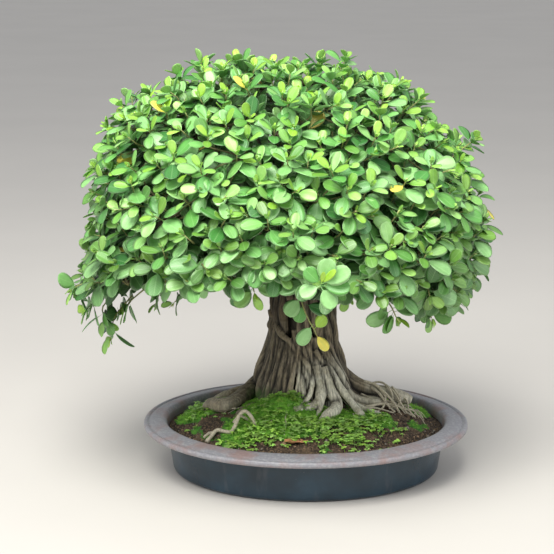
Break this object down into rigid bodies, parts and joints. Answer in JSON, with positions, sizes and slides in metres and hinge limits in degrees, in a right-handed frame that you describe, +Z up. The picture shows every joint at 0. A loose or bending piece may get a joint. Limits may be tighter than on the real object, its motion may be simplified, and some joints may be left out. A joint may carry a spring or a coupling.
{
  "type": "banyan bonsai in an oval tray",
  "caption": "Small-leaved banyan bonsai with a clipped domed crown, root-laced trunk and spreading surface roots, planted in a shallow oval stoneware tray.",
  "frame": {"origin": "centre of the tray's flat underside", "axes": "+Z up, +X to the right along the tray's length, -Y to the front"},
  "size_m": [0.5572, 0.5048, 0.558],
  "materials": {
    "stoneware": "matt slate-blue glaze, chalky grey on the flange",
    "screen": "woven mesh",
    "soil": "granular, damp",
    "bark": "smooth fibrous bark",
    "young_bark": "smooth bark",
    "pale_root": "dry, smooth",
    "leaf": "waxy",
    "dry_leaf": "dry, matt",
    "moss": "soft pile",
    "clover": "soft, matt"
  },
  "bodies": {
    "root": {"tray": "stoneware", "drain_screen_left": "screen", "drain_screen_right": "screen", "soil": "soil", "trunk_and_roots": "bark", "arched_root": "pale_root", "lattice_root": "pale_root", "fallen_leaf": "dry_leaf", "leader": "young_bark", "limb_1": "young_bark", "limb_2": "young_bark", "limb_3": "young_bark", "limb_4": "young_bark", "limb_5": "young_bark", "limb_6": "young_bark", "limb_7": "young_bark", "limb_8": "young_bark", "foliage_top": "leaf", "foliage_upper_1": "leaf", "foliage_upper_2": "leaf", "foliage_upper_3": "leaf", "foliage_upper_4": "leaf", "foliage_upper_5": "leaf", "foliage_upper_6": "leaf", "foliage_middle_1": "leaf", "foliage_middle_2": "leaf", "foliage_middle_3": "leaf", "foliage_middle_4": "leaf", "foliage_middle_5": "leaf", "foliage_middle_6": "leaf", "foliage_middle_7": "leaf", "foliage_middle_8": "leaf", "foliage_hem_1": "leaf", "foliage_hem_2": "leaf", "foliage_hem_3": "leaf", "foliage_hem_4": "leaf", "foliage_hem_5": "leaf", "foliage_hem_6": "leaf", "foliage_hem_7": "leaf", "foliage_hem_8": "leaf", "moss_front_left": "moss", "moss_left": "moss", "moss_front_right": "moss", "moss_right": "moss", "moss_back_right": "moss", "moss_back_left": "moss", "clover_front_left": "clover", "clover_front_right": "clover"}
  },
  "joints": []
}
